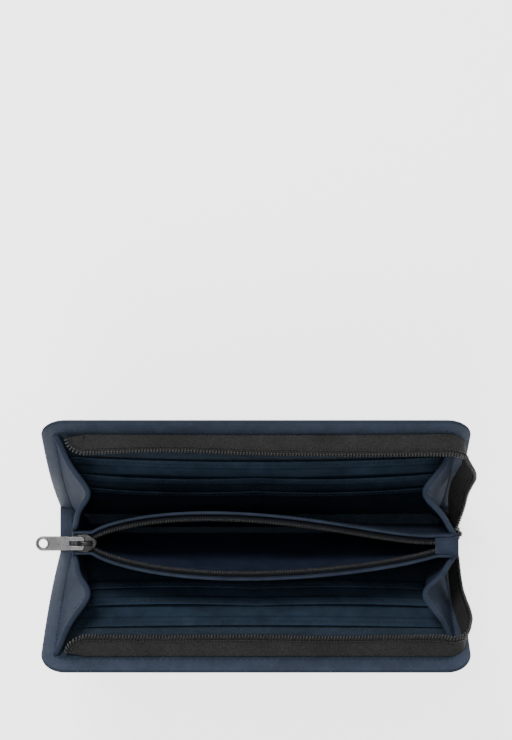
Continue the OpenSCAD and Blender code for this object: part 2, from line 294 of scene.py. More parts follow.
def turned(side, x, v):
    """The share of a cover's full lean that its leather has taken, at x along it and v up it. The cover's
    leather bows inward when the holder stands open, and lies flat when it is closed."""
    x, v = np.asarray(x, float), np.asarray(v, float)
    bow = BOW_AT_ENDS + BOW_MORE_IN_MIDDLE[side] * np.clip(1 - (x / HALF_W) ** 2, 0, 1)
    height = np.clip(v, 0.5, COVER_H)
    return 1 - bow * np.sin(math.pi * height / COVER_H) / (height * LEAN)


def opened(side, x, y, z, share):
    """The place, in the open holder, of a point that would be at x, y, z in the closed one."""
    x, y, z, share = np.broadcast_arrays(*[np.asarray(a, float) for a in (x, y, z, share)])
    angle = LEAN * share
    dy, dz = y - FOLD_Y, z - FOLD_Z
    return np.stack([x, side * (FOLD_Y + dy * np.cos(angle) + dz * np.sin(angle)),
                     FOLD_Z - dy * np.sin(angle) + dz * np.cos(angle)], -1)


def cover_point(side, x, v, d):
    """The point at x along the holder, v up a cover from its fold and d in from its inner face."""
    d = np.asarray(d, float)
    return opened(side, x, FOLD_Y + INNER_Y - d, FOLD_Z + np.asarray(v, float), turned(side, x, v))


def cover_normal(side):
    """The direction from a cover's inner face into the holder."""
    return np.array([0, -side * math.cos(LEAN), math.sin(LEAN)])


def faced(side, grid):
    """The grid with its columns in the order that makes its normals point into the holder."""
    return grid if side > 0 else grid[:, ::-1]


def fit_blend(piece, a, b):
    """Bakes the piece's placement into its mesh. The two bodies it is given are not used."""
    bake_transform(piece)


def make(build, name, materials, body=None, bodies=None, replaces=()):
    piece = build.finish(name, materials)
    if replaces:
        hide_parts(*replaces)
    if body:
        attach(piece, body)
    else:
        fit_blend(piece, *bodies)
    return piece


# ---------- materials ----------

def new_material(name, colour, roughness, metallic=0.0, sheen=0.0, specular=0.5):
    m = bpy.data.materials.new(name)
    m.use_nodes = True
    shader = m.node_tree.nodes["Principled BSDF"]
    shader.inputs["Base Color"].default_value = (*colour, 1)
    shader.inputs["Roughness"].default_value = roughness
    shader.inputs["Metallic"].default_value = metallic
    shader.inputs["Sheen Weight"].default_value = sheen
    shader.inputs["Specular IOR Level"].default_value = specular
    return m, m.node_tree.nodes, m.node_tree.links, shader


def texture(nodes, links, kind, scale, **settings):
    """A 3-D texture node in object coordinates, in metres."""
    place = nodes.get("place") or nodes.new("ShaderNodeTexCoord")
    place.name = "place"
    node = nodes.new(kind)
    node.inputs["Scale"].default_value = scale
    for key, value in settings.items():
        if hasattr(node, key):
            setattr(node, key, value)
        else:
            node.inputs[key].default_value = value
    links.new(place.outputs["Object"], node.inputs["Vector"])
    return node


def ramp(nodes, links, source, dark, light, start=0.3, end=0.7):
    node = nodes.new("ShaderNodeValToRGB")
    node.color_ramp.elements[0].position, node.color_ramp.elements[1].position = start, end
    node.color_ramp.elements[0].color, node.color_ramp.elements[1].color = dark, light
    links.new(source, node.inputs["Fac"])
    return node.outputs["Color"]


def grey(v):
    return (v, v, v, 1)


def shades(colour, contrast):
    """The colour made darker, and made lighter, by the same share."""
    return [(*(c * (1 + step) for c in colour), 1) for step in (-contrast, contrast)]


def multiplied(nodes, links, first, second):
    mix = nodes.new("ShaderNodeMixRGB")
    mix.blend_type = "MULTIPLY"
    mix.inputs["Fac"].default_value = 1.0
    links.new(first, mix.inputs["Color1"])
    links.new(second, mix.inputs["Color2"])
    return mix.outputs["Color"]


def bump(nodes, links, source, height, strength, before=None):
    node = nodes.new("ShaderNodeBump")
    node.inputs["Strength"].default_value = strength
    node.inputs["Distance"].default_value = height
    links.new(source, node.inputs["Height"])
    if before is not None:
        links.new(before, node.inputs["Normal"])
    return node.outputs["Normal"]


def leather_material(name, colour, roughness=0.52, grain=1150, depth=0.00012, contrast=0.22, specular=0.015):
    """Fine pebbled grain with soft creases, and a slight change of tone from place to place."""
    m, nodes, links, shader = new_material(name, colour, roughness, specular=specular)
    cells = texture(nodes, links, "ShaderNodeTexVoronoi", grain, feature="DISTANCE_TO_EDGE", Randomness=1.0)
    fine = texture(nodes, links, "ShaderNodeTexNoise", grain * 2.2, Detail=4.0)
    patches = texture(nodes, links, "ShaderNodeTexNoise", 38, Detail=5.0, Roughness=0.62)
    creases = texture(nodes, links, "ShaderNodeTexNoise", 150, Detail=6.0, Distortion=0.8)
    tone = ramp(nodes, links, patches.outputs["Fac"], *shades(colour, contrast))
    mottle = ramp(nodes, links, creases.outputs["Fac"], grey(0.84), grey(1.12), 0.25, 0.75)
    links.new(multiplied(nodes, links, tone, mottle), shader.inputs["Base Color"])
    rough = ramp(nodes, links, patches.outputs["Fac"], grey(roughness - 0.07), grey(roughness + 0.09))
    links.new(rough, shader.inputs["Roughness"])
    edge = ramp(nodes, links, cells.outputs["Distance"], grey(0), grey(1), 0.0, 0.22)
    relief = bump(nodes, links, edge, depth, 0.55)
    relief = bump(nodes, links, fine.outputs["Fac"], depth * 0.5, 0.35, relief)
    relief = bump(nodes, links, creases.outputs["Fac"], depth * 2.2, 0.3, relief)
    links.new(relief, shader.inputs["Normal"])
    return m


def woven_material(name, colour, thread, depth=0.00012):
    """A plain weave: crossed sets of ribs, broken up by noise."""
    m, nodes, links, shader = new_material(name, colour, 0.85, sheen=0.03, specular=0.12)
    ribs = []
    for direction in ("X", "Y", "Z"):
        wave = texture(nodes, links, "ShaderNodeTexWave", thread / 6.28, bands_direction=direction,
                       Distortion=1.4, Detail=1.5)
        ribs.append(wave.outputs["Fac"])
    product = ribs[0]
    for rib in ribs[1:]:
        node = nodes.new("ShaderNodeMath")
        node.operation = "MULTIPLY"
        links.new(product, node.inputs[0])
        links.new(rib, node.inputs[1])
        product = node.outputs[0]
    fuzz = texture(nodes, links, "ShaderNodeTexNoise", 1500, Detail=4.0)
    patches = texture(nodes, links, "ShaderNodeTexNoise", 60, Detail=4.0)
    tone = ramp(nodes, links, fuzz.outputs["Fac"], *shades(colour, 0.35), 0.35, 0.65)
    shade = ramp(nodes, links, patches.outputs["Fac"], grey(0.8), grey(1.15))
    links.new(multiplied(nodes, links, tone, shade), shader.inputs["Base Color"])
    relief = bump(nodes, links, product, depth, 0.7)
    relief = bump(nodes, links, fuzz.outputs["Fac"], depth * 0.8, 0.4, relief)
    links.new(relief, shader.inputs["Normal"])
    return m


def nylon_material():
    m, nodes, links, shader = new_material("coil_nylon", (0.03, 0.03, 0.03), 0.3, specular=0.35)
    wear = texture(nodes, links, "ShaderNodeTexNoise", 900, Detail=3.0)
    tone = ramp(nodes, links, wear.outputs["Fac"], (0.009, 0.009, 0.0095, 1), (0.028, 0.028, 0.028, 1))
    links.new(tone, shader.inputs["Base Color"])
    rough = ramp(nodes, links, wear.outputs["Fac"], grey(0.28), grey(0.46))
    links.new(rough, shader.inputs["Roughness"])
    return m


def metal_material(name, dark, light):
    """Gunmetal plating with fine rubbed scratches and small pits."""
    m, nodes, links, shader = new_material(name, (light, light, light), 0.32, metallic=1.0)
    rub = texture(nodes, links, "ShaderNodeTexNoise", 700, Detail=6.0, Distortion=0.5)
    patches = texture(nodes, links, "ShaderNodeTexNoise", 170, Detail=4.0)
    tone = ramp(nodes, links, patches.outputs["Fac"], grey(dark), grey(light))
    links.new(tone, shader.inputs["Base Color"])
    rough = ramp(nodes, links, rub.outputs["Fac"], grey(0.24), grey(0.46))
    links.new(rough, shader.inputs["Roughness"])
    links.new(bump(nodes, links, rub.outputs["Fac"], 0.00005, 0.35), shader.inputs["Normal"])
    return m


def thread_material():
    m, nodes, links, shader = new_material("thread", (0.022, 0.029, 0.050), 0.7, specular=0.1)
    twist = texture(nodes, links, "ShaderNodeTexWave", 900, bands_direction="DIAGONAL")
    tone = ramp(nodes, links, twist.outputs["Fac"], (0.012, 0.016, 0.028, 1), (0.028, 0.035, 0.056, 1))
    links.new(tone, shader.inputs["Base Color"])
    links.new(bump(nodes, links, twist.outputs["Fac"], 0.00006, 0.6), shader.inputs["Normal"])
    return m


def board_material():
    m, nodes, links, shader = new_material("pressed_board", (0.30, 0.25, 0.18), 0.85)
    pulp = texture(nodes, links, "ShaderNodeTexNoise", 600, Detail=8.0)
    tone = ramp(nodes, links, pulp.outputs["Fac"], (0.22, 0.18, 0.13, 1), (0.38, 0.32, 0.24, 1))
    links.new(tone, shader.inputs["Base Color"])
    links.new(bump(nodes, links, pulp.outputs["Fac"], 0.0001, 0.4), shader.inputs["Normal"])
    return m


NAVY = leather_material("navy_leather", (0.034, 0.044, 0.067), contrast=0.13, specular=0.06)
# A darker leather for the rim's rounded outer edge: painted shade, where the rim turns away from the light.
RIM_SHADE_LEATHER = leather_material("rim_edge_painted_shade", (0.022, 0.029, 0.045), contrast=0.1, depth=0.00005, specular=0.05)
GUSSET = leather_material("gusset_leather", (0.0235, 0.031, 0.0485), roughness=0.65, grain=1400,
                          specular=0.02)
SLOT = leather_material("slot_leather", (0.021, 0.034, 0.053), roughness=0.5, grain=1600, depth=0.00006)
LINING = woven_material("lining_cloth", (0.018, 0.028, 0.042), thread=3000, depth=0.00008)
TAPE = woven_material("zip_tape", (0.0215, 0.0212, 0.021), thread=2400)
COIN_LINING = leather_material("coin_pocket_lining", (0.015, 0.021, 0.038), roughness=0.6, grain=1800,
                               depth=0.00005)
COIN_TAPE = woven_material("coin_zip_tape", (0.008, 0.009, 0.012), thread=2400)
NYLON = nylon_material()
METAL = metal_material("gunmetal", 0.021, 0.054)
# The pullers use the same gunmetal as the sliders, in a lighter tone.
PULL_METAL = metal_material("puller_gunmetal_lighter", 0.115, 0.205)
THREAD = thread_material()
BOARD = board_material()

BY_SLOT = {"leather": NAVY, "soft_leather": GUSSET, "slot_leather": SLOT, "lining": LINING,
           "board": BOARD, "tape": TAPE, "coil": NYLON, "metal": METAL}
slot_of = {s["node"]: s["material_slot"] for s in frame["record"]["subparts"]}
for node_name, node_object in frame["nodes"].items():
    node_object.data.materials.clear()
    node_object.data.materials.append(BY_SLOT[slot_of[node_name]])


# ---------- leather shell ----------

def shell_rows():
    """Rows of the closed shell's outer face, from the spine's middle round the fold and up the back cover.
    Each row is (y, z, inward y, inward z, half width, edge turn, height up the cover, share)."""
    inset = COVER_T / 2
    rows = []
    for y in np.linspace(0, FOLD_Y, 9):
        rows.append((y, 0, 0, 1, HALF_W - inset, 0.0, 0.0, 0.0))
    for share in np.linspace(0, 1, 8)[1:]:
        turn = math.pi / 2 * (share - 1)
        c, s = math.cos(turn), math.sin(turn)
        rows.append((FOLD_Y + OUTER_Y * c, FOLD_Z + OUTER_Y * s, -c, -s, HALF_W - inset, 0.0, 0.0, share))
    heights = [1.2, 2.6, 4.5, 7] + list(np.linspace(12, COVER_H - CORNER_R, 15))
    for v in heights:
        rows.append((FOLD_Y + OUTER_Y, FOLD_Z + v, -1, 0, HALF_W - inset, 0.0, v, 1.0))
    r = CORNER_R - inset
    for turn in np.linspace(0, math.pi / 2, 11)[1:]:
        v = COVER_H - CORNER_R + r * math.sin(turn)
        half = HALF_W - CORNER_R + r * math.cos(turn)
        rows.append((FOLD_Y + OUTER_Y, FOLD_Z + v, -1, 0, half, turn, v, 1.0))
    return np.array(rows)


def shell(name, side):
    """Half of the leather: from under the spine's middle, round the fold and up a cover, over its rim and
    down its inner margin."""
    rows = shell_rows()
    inset = COVER_T / 2
    across = np.linspace(-1, 1, 45)
    x = rows[:, 4:5] * across
    share = rows[:, 7:8] * turned(side, x, rows[:, 6:7])
    puff = 0.3 * np.sin(math.pi * np.clip(rows[:, 6:7] / COVER_H, 0, 1)) * (1 - across ** 4)
    skin = opened(side, x, rows[:, 0:1] - rows[:, 2:3] * puff, rows[:, 1:2] - rows[:, 3:4] * puff, share)
    build = Build()
    build.grid(skin, 0, share, flip=side > 0)

    last = len(rows) - 1
    left = [(i, -1.0) for i in range(last + 1)]
    top = [(last, a) for a in across[1:-1]]
    right = [(i, 1.0) for i in range(last, -1, -1)]
    edge = np.array([[*rows[i], a] for i, a in left + top + right])
    y, z, in_y, in_z, half, turn, v, part, a = edge.T
    at_top = np.abs(a) < 1
    out_x = np.where(at_top, 0, a * np.cos(turn))
    out_v = np.where(at_top, 1, np.sin(turn))
    width = MARGIN - inset
    profile = [((inset + RIM_BULGE) * math.sin(t), (1 - math.cos(t)) / 2, 0)
               for t in np.linspace(0, math.pi, 9)]
    profile += [(-width * f, 1.0, 0.3 * math.sin(math.pi * min(1, f * 1.02)))
                for f in (0.12, 0.25, 0.45, 0.65, 0.82, 0.94)]
    profile += [(-width, 1.0, -0.1), (-width, 1.0, -0.7)]

    def ring(out, depth, lift):
        """The edge's line moved out by out, in by a share of the cover's thickness, and in again by lift."""
        px, pv = half * a + out_x * out, v + out_v * out
        inward = COVER_T * depth + lift
        py, pz = y + in_y * inward, z + in_z * inward + out_v * out
        ring_share = part * turned(side, px, pv)
        return opened(side, px, py, pz, ring_share), ring_share

    rings, shares = zip(*[ring(*p) for p in profile])
    shaded_edge_steps = 6    # the profile's steps round the rim's edge, darkened with painted shade
    # The rim's rounded outer edge takes slot 2, the darker leather that paints shade on it.
    build.grid(np.array(rings[:shaded_edge_steps + 1]), 2, np.array(shares[:shaded_edge_steps + 1]), flip=side < 0)
    build.grid(np.array(rings[shaded_edge_steps:]), 0, np.array(shares[shaded_edge_steps:]), flip=side < 0)
    faces_in = unit_rows(ring(-3, 2, 0)[0] - ring(-3, 1, 0)[0])
    inner_seam = (-width + 1.3, 1.0, 0.1, 1)
    outer_seam = (-3.6, 0.0, 0.28, -1)
    for offset, depth, lift, sign in (inner_seam, outer_seam):
        line, line_share = ring(offset, depth, lift)
        build.stitches(line, faces_in * sign, 1, line_share)
    return make(build, f"{name}_shell", [NAVY, THREAD, RIM_SHADE_LEATHER], bodies=("spine", f"{name}_cover"),
                replaces=[f"{name}_cover_leather", "spine_leather"])


# ---------- boards, linings and card pockets ----------

def cover_layer(side, inset, d, thickness, foot):
    """A flat layer of a cover, with rounded top corners, that bends with the cover's leather."""
    r = CORNER_R - inset
    v = np.concatenate([[foot, foot + 1.5, foot + 4.5], np.linspace(foot + 9, COVER_H - CORNER_R, 12),
                        COVER_H - CORNER_R + r * np.sin(np.linspace(0.2, math.pi / 2, 6))])
    over = np.clip(v - (COVER_H - CORNER_R), 0, r)
    half = HALF_W - CORNER_R + np.sqrt(np.maximum(r ** 2 - over ** 2, 0))
    x = np.linspace(-1, 1, 33) * half[:, None]
    v = np.broadcast_to(v[:, None], x.shape)
    ripple = 0.1 * np.sin(x / 17 + v / 23) if d > -0.5 else 0 * x
    points = cover_point(side, x, v, d + ripple)
    build = Build()
    build.slab(faced(side, points), thickness, 0, faced(side, turned(side, x, v)))
    return build


def cover_inside(name, side):
    bodies = ("spine", f"{name}_cover")
    build = cover_layer(side, LEATHER_T + 0.3, -0.75, 0.7, 2.5)
    make(build, f"{name}_board", [BOARD], bodies=bodies, replaces=[f"{name}_cover_board"])
    build = cover_layer(side, MARGIN - 0.6, -0.2, 0.4, 0.4)
    piece = make(build, f"{name}_lining", [LINING], bodies=bodies,
                 replaces=[f"{name}_cover_lining"])


def mouth_gape(x, v, top, amount, centre_seam):
    """A slot's mouth stands a little away from the panel behind it, except at its seams."""
    across = np.abs(x) / PANEL_HALF
    free = np.clip(1 - (2 * across - 1) ** 2 if centre_seam else 1 - across ** 2, 0, 1)
    return amount * free * np.exp(-((top - v) / 9.0) ** 2)


def card_panel(name, side, label, top, base, gapes, nodes, seams):
    """One row of pockets: a panel with a folded hem along its mouth and stitched seams."""
    x = np.linspace(-PANEL_HALF, PANEL_HALF, 73)
    v = np.concatenate([np.linspace(PANEL_FOOT, top - 9, 14), np.linspace(top - 7.5, top - 6.4, 2),
                        np.linspace(top - 6.1, top, 6)])
    xx, vv = np.meshgrid(x, v)

    def depth(px, pv):
        hem = PANEL_HEM_T * (np.asarray(pv) > top - PANEL_HEM_H)
        wave = 0.25 * np.sin(px / 19 + top) * np.sin(math.pi * np.clip(pv / top, 0, 1))
        return base + wave + hem + mouth_gape(px, pv, top, gapes, len(seams) > 2)

    build = Build()
    points = cover_point(side, xx, vv, depth(xx, vv))
    build.slab(faced(side, points), PANEL_T, 0, faced(side, turned(side, xx, vv)))
    line = np.linspace(-PANEL_HALF + 1.5, PANEL_HALF - 1.5, 90)
    row = top - 2.2
    above = cover_point(side, line, row, depth(line, row) + 0.03)
    build.stitches(above, cover_normal(side), 1, turned(side, line, row), **FINE_STITCH)
    for sx in seams:
        sv = np.linspace(PANEL_FOOT + 2, top - 1, 40)
        down = cover_point(side, sx, sv, depth(sx, sv) + 0.03)
        build.stitches(down, cover_normal(side), 1, turned(side, sx, sv), **FINE_STITCH)
    piece = make(build, f"{name}_{label}", [SLOT, THREAD], bodies=("spine", f"{name}_cover"),
                 replaces=nodes)


def card_panels(name, side):
    edge = PANEL_HALF - 1.6
    card_panel(name, side, "passport_pocket", POCKET_TOP, 0.9, 0.8, [f"{name}_card_backing"], (-edge, edge))
    for row, top, base, gapes in (("upper", UPPER_TOP, 2.4, 1.1), ("lower", LOWER_TOP, 3.9, 1.3)):
        nodes = [f"{name}_{row}_slot_panel", f"{name}_{row}_slot_seams"]
        card_panel(name, side, f"{row}_card_slots", top, base, gapes, nodes, (-edge, -0.9, 0.9, edge))


# ---------- zips ----------

def coil(build, tips, outward, normal, weights, pitch, reach, thick, wire, slot):
    """A flattened helix of nylon along a tape's free edge, fattest where the teeth meet."""
    gaps = np.linalg.norm(np.diff(tips, axis=0), axis=1)
    s = np.concatenate([[0], np.cumsum(gaps)])
    turns = int(s[-1] / pitch)
    steps = 12
    where = np.linspace(0, turns * pitch, turns * steps + 1)
    phase = np.arange(len(where)) * 2 * math.pi / steps

    def at(field):
        return np.stack([np.interp(where, s, field[:, k]) for k in range(3)], 1)

    u, n = unit_rows(at(outward)), unit_rows(at(normal))
    middle = at(tips) + u * reach / 2
    wave = -np.cos(phase)
    path = middle + u * (wave * (reach / 2 - wire))[:, None]
    path = path + n * (np.sin(phase) * (thick / 2 - wire))[:, None]
    radius = wire * (1.0 + 0.28 * np.clip(wave, 0, 1))
    build.tube(path, radius, slot, np.interp(where, s, weights), sides=6)
    core = middle[::6] - u[::6] * reach * 0.1
    build.tube(core, wire * 0.8, slot, np.interp(where[::6], s, weights), sides=5)


def side_strip(side):
    """How the main zip hangs down the right end: heights up the cover, and how far out its root and its tip
    are there."""
    v = (86, 80, 73, 66, 58, 50, 42, 36)
    if side > 0:
        root = (0.2, 0.5, 0.8, 0.6, -1.0, -3.0, -3.6, -3.2)
        tip = (2.0, 4.3, 6.0, 6.6, 5.7, 4.3, 3.3, 2.5)
    else:
        root = (-0.1, -0.7, -1.6, -2.5, -3.2, -3.6, -3.6, -3.2)
        tip = (1.9, 2.9, 2.5, 1.5, 0.7, 0.4, 0.4, 0.5)
    return zip(v, root, tip)


def tape_droop(side, v):
    """How far the tape's free edge sags down the right end. The back half has sagged more."""
    return (-4.4 if side > 0 else -0.6) * np.clip((v - 36) / 40, 0, 1) ** 0.7


def tape_lift(side, x):
    """How far the tape's free edge stands up along the cover's top, in a slow wave."""
    ripple = 0.45 * np.sin(x / 13.0 + side) + 0.3 * np.sin(x / 31.0)
    if side > 0:
        return ripple + 4.6 * np.exp(-((x + 40) / 36) ** 2) - 1.2 - 1.5 * np.clip(x / 90, 0, 1) ** 2
    return ripple - 1.2


def main_zip_keys(side):
    """Stations of one half of the closed main zip, from its left end to its tail. Each is the root's and
    the tip's x, y and z, the share of the cover's lean that it takes, and how much more the tip takes."""
    root_y = FOLD_Y + INNER_Y - ROOT_LIFT
    keys = []

    def key(x, v, x_tip=0.0, v_tip=0.0, reach=TAPE_REACH, part=1.0, more=0.0):
        keys.append([x, root_y, FOLD_Z + v, x + x_tip, root_y - reach, FOLD_Z + v + v_tip,
                     part * float(turned(side, x, v)), more])

    for turn in np.linspace(0.12, 1, 7)[:-1] * math.pi / 2:
        lift = tape_lift(side, ZIP_TURN_X) * math.sin(turn)
        key(ZIP_TURN_X, ZIP_V, -TAPE_REACH * math.cos(turn), lift, TAPE_REACH * math.sin(turn))
    for x in np.linspace(ZIP_TURN_X, ZIP_X - ZIP_CORNER_R - 3, 14):
        lift = float(tape_lift(side, x))
        reach = TAPE_REACH + (0.9 if side < 0 else 0.2)
        key(x, ZIP_V, v_tip=lift, reach=math.sqrt(reach ** 2 - lift ** 2))
    for turn in np.linspace(math.pi / 2, 0.2, 5):
        x = ZIP_X - ZIP_CORNER_R + ZIP_CORNER_R * math.cos(turn)
        v = ZIP_V - ZIP_CORNER_R + ZIP_CORNER_R * math.sin(turn)
        bend = math.cos(turn)
        lift = (1 - bend) * float(tape_lift(side, x)) + bend * float(tape_droop(side, v))
        key(x, v, 1.4 * bend, lift, math.sqrt(TAPE_REACH ** 2 - lift ** 2))
    for v, root, tip in side_strip(side):
        part = min(1.0, max(0.0, (v - 20) / 34)) ** 0.8
        droop = float(tape_droop(side, v))
        reach = math.sqrt(TAPE_REACH ** 2 - (tip - root) ** 2 - droop ** 2)
        key(ZIP_X + root, v, tip - root, droop, reach, part, (TAPE_REACH - reach) / (v * LEAN))
    tail = ((31, -2.4), (23, -1.8), (16, -1.0), (10, -0.5), (SPINE_T + 1.6, 0))
    for z, root in tail:
        keys.append([ZIP_X + root, root_y - 1.4, z, ZIP_X, root_y - TAPE_REACH, z, 0.0, 0.0])
    return keys


def main_zip(name, side):
    line = spline(main_zip_keys(side), 340)
    share = np.clip(line[:, 6], 0, 1)
    tip_share = share + line[:, 7]
    root = opened(side, line[:, 0], line[:, 1], line[:, 2], share)
    tip = opened(side, line[:, 3], line[:, 4], line[:, 5], share)
    outward = unit_rows(tip - root)
    along = unit_rows(np.gradient(tip, axis=0))
    normal = unit_rows(np.cross(along, outward))
    across = np.linspace(0, 1, 8)
    swell = np.sin(across * math.pi)
    points = root[:, None] + (tip - root)[:, None] * across[None, :, None]
    points = points + normal[:, None] * (0.35 * swell * side)[None, :, None]
    points = points + outward[:, None] * (0.7 * across ** 4)[None, :, None]
    build = Build()
    build.slab(points - normal[:, None] * 0.28, 0.56, 0, share[:, None] + line[:, 7:8] * across)
    bodies = ("spine", f"{name}_cover")
    tape = make(build, f"{name}_main_tape", [TAPE], bodies=bodies,
                replaces=[f"{name}_zip_tape", "main_tail_tapes"])
    teeth = Build()
    coil(teeth, tip - outward * 0.5, outward, normal, tip_share, COIL_PITCH, COIL_W + 0.5, 2.2, 0.4, 0)
    for shift in (0.4, -0.4):
        edge = tip - outward * 1.15 + normal * shift
        teeth.stitches(edge, normal * np.sign(shift), 0, tip_share, pitch=COIL_PITCH, length=0.95, r=0.3)
    make(teeth, f"{name}_main_coil", [NYLON], bodies=bodies,
         replaces=[f"{name}_zip_coil", "main_tail_coils"])


# ---------- coin pocket ----------

def parted(x):
    """How far along the open zip's parted stretch x is, from 0 to 1."""
    return np.clip((np.asarray(x, float) - COIN_MID + COIN_PART) / (2 * COIN_PART), 0, 1)


def gape(x):
    """How far the open coin zip has parted at x, from 0 to 1. It is widest toward the slider."""
    t = parted(x)
    widest = 0.2727    # the curve's greatest value
    return t ** 0.75 * (1 - t) ** 1.2 / widest


def coin_edge(x):
    return COIN_GAP + (COIN_EDGE - COIN_GAP) * gape(x)


def coin_drift(x):
    """How far the zip wanders toward the front cover, from nothing at its slider."""
    t = parted(x)
    return -4.8 * t ** 1.2 * (1 - 0.7 * t ** 10)


TAB_SHIFT = float(coin_drift(HALF_W))
COIN_WEIGHT = (COIN_EDGE - COIN_GAP) / (COIN_Z - LEAF_Z) / LEAF_TURN


def coin_grid(side, x, rise, inset, top):
    """A wall of the coin pocket, from its foot to its top, inset from the leather's outer face."""
    xx, rr = np.meshgrid(x, rise)
    foot = 2.8 - inset * 0.6
    head = coin_edge(xx) + COIN_HEM + 0.7 - inset
    y = foot + (head - foot) * rr ** 0.92
    y = y + 0.35 * np.sin(xx / 11.0) * np.sin(math.pi * rr)
    z = BASE_TOP - 1.0 + (top - BASE_TOP + 1.0) * rr
    return np.stack([xx, side * y + coin_drift(xx) * rr ** 2, z], -1), COIN_WEIGHT * gape(xx)


def coin_wall(name, side):
    x = np.linspace(WALL_L + 0.2, WALL_R - 0.2, 73)
    rise = np.concatenate([np.linspace(0, 0.9, 12), np.linspace(0.92, 1, 5)])
    points, weight = coin_grid(side, x, rise, 0.0, COIN_Z + 1.1)
    hem = (0.3 * (rise > 0.915))[:, None]
    points[..., 1] += side * hem
    build = Build()
    build.slab(faced(-side, points), WALL_T, 0, faced(-side, weight))
    line = points[-4] - np.array([0, side * 0.12, 0])
    build.stitches(line, [0, side, 0], 1, weight[-4], **FINE_STITCH)
    bodies = ("spine", f"coin_{name}_leaf")
    wall = make(build, f"coin_wall_{name}_leather", [GUSSET, THREAD], bodies=bodies,
                replaces=[f"coin_wall_{name}"])

    inner, weight = coin_grid(side, x, rise, 2.4, COIN_Z - 1.0)
    slack = 0.35 * (1 + np.sin(x / 7.0 + 1))[None, :] * np.sin(math.pi * rise)[:, None] * gape(x)[None, :]
    inner[..., 1] -= side * slack
    build = Build()
    build.slab(faced(side, inner), 0.45, 0, faced(side, weight))
    leaf = make(build, f"coin_lining_{name}_cloth", [COIN_LINING], bodies=bodies,
                replaces=[f"coin_lining_{name}"])


def coin_zip(name, side):
    x = np.linspace(COIN_L, COIN_R, 161)
    drift = coin_drift(x)
    tip = np.stack([x, side * (coin_edge(x) + COIL_W) + drift, np.full_like(x, COIN_Z + 0.3)], -1)
    root = np.stack([x, side * (coin_edge(x) + COIN_HEM - 0.4) + drift, np.full_like(x, COIN_Z - 2.2)], -1)
    weight = COIN_WEIGHT * gape(x)
    outward = unit_rows(tip - root)
    flat_out = unit_rows(outward * [1, 1, 0.35])
    along = unit_rows(np.gradient(tip, axis=0))
    normal = unit_rows(np.cross(along, flat_out)) * side
    down = coin_grid(side, x, np.linspace(0.87, 0.975, 5), 2.0, COIN_Z + 0.2)[0]
    over = np.stack([root + (tip - root) * a for a in (0.35, 0.8, 1.3)])
    points = np.concatenate([down, over]).transpose(1, 0, 2)
    build = Build()
    build.slab(points, 0.5, 0, weight[:, None])
    bodies = ("spine", f"coin_{name}_leaf")
    tape = make(build, f"coin_{name}_tape_cloth", [COIN_TAPE], bodies=bodies,
                replaces=[f"coin_tape_{name}"])
    teeth = Build()
    coil(teeth, tip, flat_out, normal, weight, COIN_PITCH, COIL_W, 1.9, 0.31, 0)
    make(teeth, f"coin_{name}_coil_teeth", [NYLON], bodies=bodies, replaces=[f"coin_coil_{name}"])


# ---------- gussets and end tabs ----------

def gusset(end, name, side):
    """A soft side panel, from a cover to the coin pocket's end, with one fold that points into the holder."""
    tab_x = RIGHT_TAB if end > 0 else -LEFT_TAB
    tab_y = 5.2 + side * TAB_SHIFT if end > 0 else 6.8
    steps, rows = 45, 28
    rise = np.linspace(0, 1, rows)
    length = 86 if end > 0 else 91
    v = 4 + length * rise
    seam_x = np.full(rows, HALF_W - MARGIN + 0.4)
    seam_share = turned(side, seam_x, v)
    seam = opened(1, seam_x, FOLD_Y + INNER_Y - 0.4, FOLD_Z + v, seam_share)

    def line(a, b):
        return np.array(a)[None] + (np.array(b) - np.array(a))[None] * rise[:, None]

    fold = line([95.0, 8.4, BASE_TOP + 0.4], [82.0, 25.0, COIN_Z + 3.5])
    tab = line([tab_x, 6.4, BASE_TOP + 0.6], [tab_x - 0.3, tab_y, COIN_Z - 2.0])
    u = np.linspace(0, 1, steps)
    points = np.empty((rows, steps, 3))
    for j, a in enumerate(u):
        t = a * 2 if a <= 0.5 else a * 2 - 1
        points[:, j] = seam + (fold - seam) * t if a <= 0.5 else fold + (tab - fold) * t
    for _ in range(16):
        points[:, 1:-1] = points[:, 1:-1] * 0.5 + (points[:, :-2] + points[:, 2:]) * 0.25
    swell = np.sin(math.pi * u)[None, :] * np.sin(math.pi * np.clip(rise * 1.05, 0, 1))[:, None]
    points[..., 0] += 0.9 * swell * np.cos(6 * rise + 0.7 * side)[:, None]
    points[..., 0] += 1.7 * (np.sin(2 * math.pi * u) ** 2)[None, :] * rise[:, None] ** 2
    points[..., 2] += 1.2 * (np.sin(math.pi * u) ** 2)[None, :] * rise[:, None] ** 3
    share = seam_share[:, None] * (1 - u)[None, :]
    points = points * [end, side, 1]
    if end * side < 0:
        points, share = points[:, ::-1], share[:, ::-1]
    normal = grid_normals(points)
    hem = GUSSET_HEM_T * np.clip((rise - 0.94) / 0.025, 0, 1)
    build = Build()
    build.slab(points + normal * (GUSSET_T / 2 + hem[:, None, None]), GUSSET_T + 2 * hem[:, None], 0, share)
    row = rows - 3
    for sign in (1, -1):
        edge = points[row] + normal[row] * sign * GUSSET_T / 2
        build.stitches(edge[2:-2], normal[row, 2:-2] * sign, 1, share[row, 2:-2], **FINE_STITCH)
    where = "right" if end > 0 else "left"
    piece = make(build, f"{name}_gusset_{where}", [GUSSET, THREAD],
                 bodies=("spine", f"{name}_cover"), replaces=[f"gusset_{where}_{name}"])


